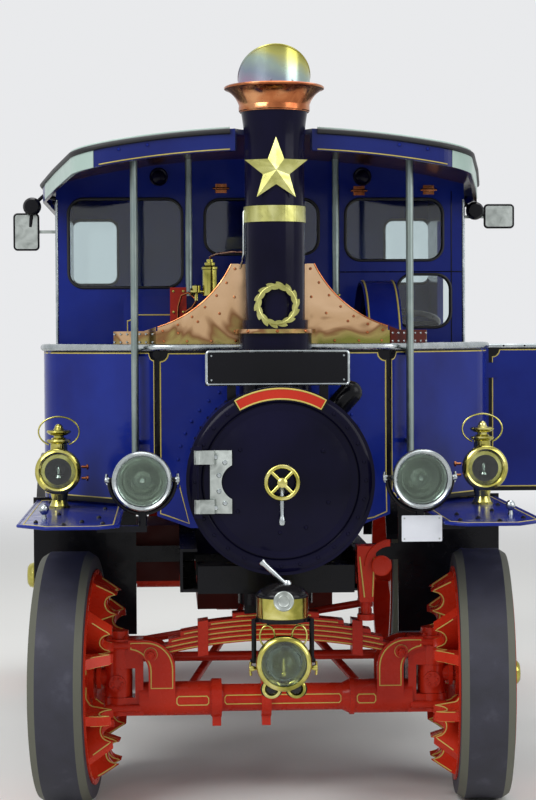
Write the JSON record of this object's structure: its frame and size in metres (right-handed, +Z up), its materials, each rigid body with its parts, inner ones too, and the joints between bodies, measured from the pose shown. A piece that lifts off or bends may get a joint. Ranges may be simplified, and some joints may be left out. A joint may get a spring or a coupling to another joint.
{
  "type": "overtype steam road tractor",
  "caption": "Overtype steam road tractor: chimney and smokebox in front, boiler with engine above, windowed cab behind, steered front wheels and twin-tyred rear wheels.",
  "frame": {"origin": "middle of the towing pin's hole at the rear, 570 mm above the ground", "axes": "+X to the right of a viewer who faces the front, +Y from the front to the rear, +Z up"},
  "size_m": [2.396, 3.8098, 2.584],
  "materials": {
    "blue_paint": "gloss coach paint, lined",
    "red_paint": "gloss",
    "black_paint": "gloss",
    "navy_paint": "gloss",
    "dark_red_paint": "satin",
    "copper": "polished copper sheet",
    "brass": "polished",
    "bright_steel": "polished",
    "tinted_steel": "heat tinted",
    "tyre_rubber": "solid rubber",
    "clear_glass": "clear",
    "seat_wood": "dull"
  },
  "bodies": {
    "chassis": {"frame": "black_paint", "cross_members": "black_paint", "front_axle": "red_paint", "front_spring": "red_paint", "front_saddle": "black_paint", "steering_bracket": "red_paint", "rear_axle": "red_paint", "boiler": "navy_paint", "smokebox": "navy_paint", "chimney": "navy_paint", "chimney_cap": "copper", "chimney_cowl": "tinted_steel", "chimney_brass": "brass", "engine": "blue_paint", "flywheel_guard": "blue_paint", "copper_plates": "copper", "apron_middle": "blue_paint", "apron_sides": "blue_paint", "roof_poles": "bright_steel", "blank_plates": "black_paint", "front_fenders": "blue_paint", "splash_plates": "black_paint", "ashpan": "dark_red_paint", "cab_floor": "black_paint", "cab_front": "blue_paint", "cab_side_left": "blue_paint", "cab_side_right": "blue_paint", "cab_rear": "blue_paint", "cab_glass": "clear_glass", "roof": "blue_paint", "seats": "seat_wood", "steering_column": "black_paint", "steps": "black_paint", "bunker": "blue_paint", "rear_mudguards": "black_paint", "headlamps": "black_paint", "side_lamps": "brass", "middle_lamp": "brass", "lamp_glass": "clear_glass", "brass_drum": "brass", "mirrors": "bright_steel"},
    "knuckle_left": {"knuckle_left": "red_paint"},
    "knuckle_right": {"knuckle_right": "red_paint"},
    "track_rod": {"track_rod": "red_paint"},
    "drag_link": {"drag_link": "red_paint"},
    "drop_arm": {"drop_arm": "red_paint"},
    "front_wheel_left": {"front_wheel_left": "red_paint", "front_tyre_left": "tyre_rubber"},
    "front_wheel_right": {"front_wheel_right": "red_paint", "front_tyre_right": "tyre_rubber"},
    "rear_wheel_left": {"rear_wheel_left": "red_paint", "rear_tyres_left": "tyre_rubber"},
    "rear_wheel_right": {"rear_wheel_right": "red_paint", "rear_tyres_right": "tyre_rubber"},
    "door_left": {"door_left": "blue_paint"},
    "door_right": {"door_right": "blue_paint"},
    "smokebox_door": {"smokebox_door": "navy_paint", "door_fittings": "bright_steel"},
    "flywheel": {"flywheel": "black_paint"}
  },
  "joints": [
    {"name": "steer_left", "type": "hinge", "parent": "chassis", "child": "knuckle_left", "pos_m": [-0.545, -3.19, -0.138], "axis": [0, 0, 1], "range_deg": [-25.5, 34.5]},
    {"name": "steer_right", "type": "hinge", "parent": "chassis", "child": "knuckle_right", "pos_m": [0.545, -3.19, -0.138], "axis": [0, 0, 1], "range_deg": [-25.5, 34.5]},
    {"name": "track_rod_pin", "type": "hinge", "parent": "knuckle_left", "child": "track_rod", "pos_m": [-0.53323, -3.04046, -0.095], "axis": [0, 0, 1], "range_deg": [-34.5, 25.5]},
    {"name": "drop_arm_turn", "type": "hinge", "parent": "chassis", "child": "drop_arm", "pos_m": [0.31, -3.255, 0.073], "axis": [0, 0, 1], "range_deg": [-25.5, 34.5]},
    {"name": "drag_link_pin", "type": "hinge", "parent": "knuckle_left", "child": "drag_link", "pos_m": [-0.53323, -3.04046, -0.045], "axis": [0, 0, 1], "range_deg": [-34.5, 25.5]},
    {"name": "front_roll_left", "type": "hinge", "parent": "knuckle_left", "child": "front_wheel_left", "pos_m": [-0.71348, -3.17674, -0.138], "axis": [0.9969, -0.0785, 0], "continuous": true},
    {"name": "front_roll_right", "type": "hinge", "parent": "knuckle_right", "child": "front_wheel_right", "pos_m": [0.71348, -3.20326, -0.138], "axis": [0.9969, -0.0785, 0], "continuous": true},
    {"name": "rear_roll_left", "type": "hinge", "parent": "chassis", "child": "rear_wheel_left", "pos_m": [-0.785, -0.79, -0.062], "axis": [1, 0, 0], "continuous": true},
    {"name": "rear_roll_right", "type": "hinge", "parent": "chassis", "child": "rear_wheel_right", "pos_m": [0.785, -0.79, -0.062], "axis": [1, 0, 0], "continuous": true},
    {"name": "door_left_hinge", "type": "hinge", "parent": "chassis", "child": "door_left", "pos_m": [-0.842, -2.215, 0.72], "axis": [0, 0, 1], "range_deg": [0, 90]},
    {"name": "door_right_hinge", "type": "hinge", "parent": "chassis", "child": "door_right", "pos_m": [0.842, -2.215, 0.72], "axis": [0, 0, 1], "range_deg": [0, 90]},
    {"name": "smokebox_door_hinge", "type": "hinge", "parent": "chassis", "child": "smokebox_door", "pos_m": [-0.272, -3.615, 0.564], "axis": [0, 0, -1], "range_deg": [0, 115]},
    {"name": "flywheel_turn", "type": "hinge", "parent": "chassis", "child": "flywheel", "pos_m": [0.422, -2.572, 0.93], "axis": [1, 0, 0], "continuous": true}
  ],
  "couplings": [
    {"joint": "steer_right", "follows": "steer_left", "ratio": 1},
    {"joint": "track_rod_pin", "follows": "steer_left", "ratio": -1},
    {"joint": "drop_arm_turn", "follows": "steer_left", "ratio": 1},
    {"joint": "drag_link_pin", "follows": "steer_left", "ratio": -1}
  ]
}
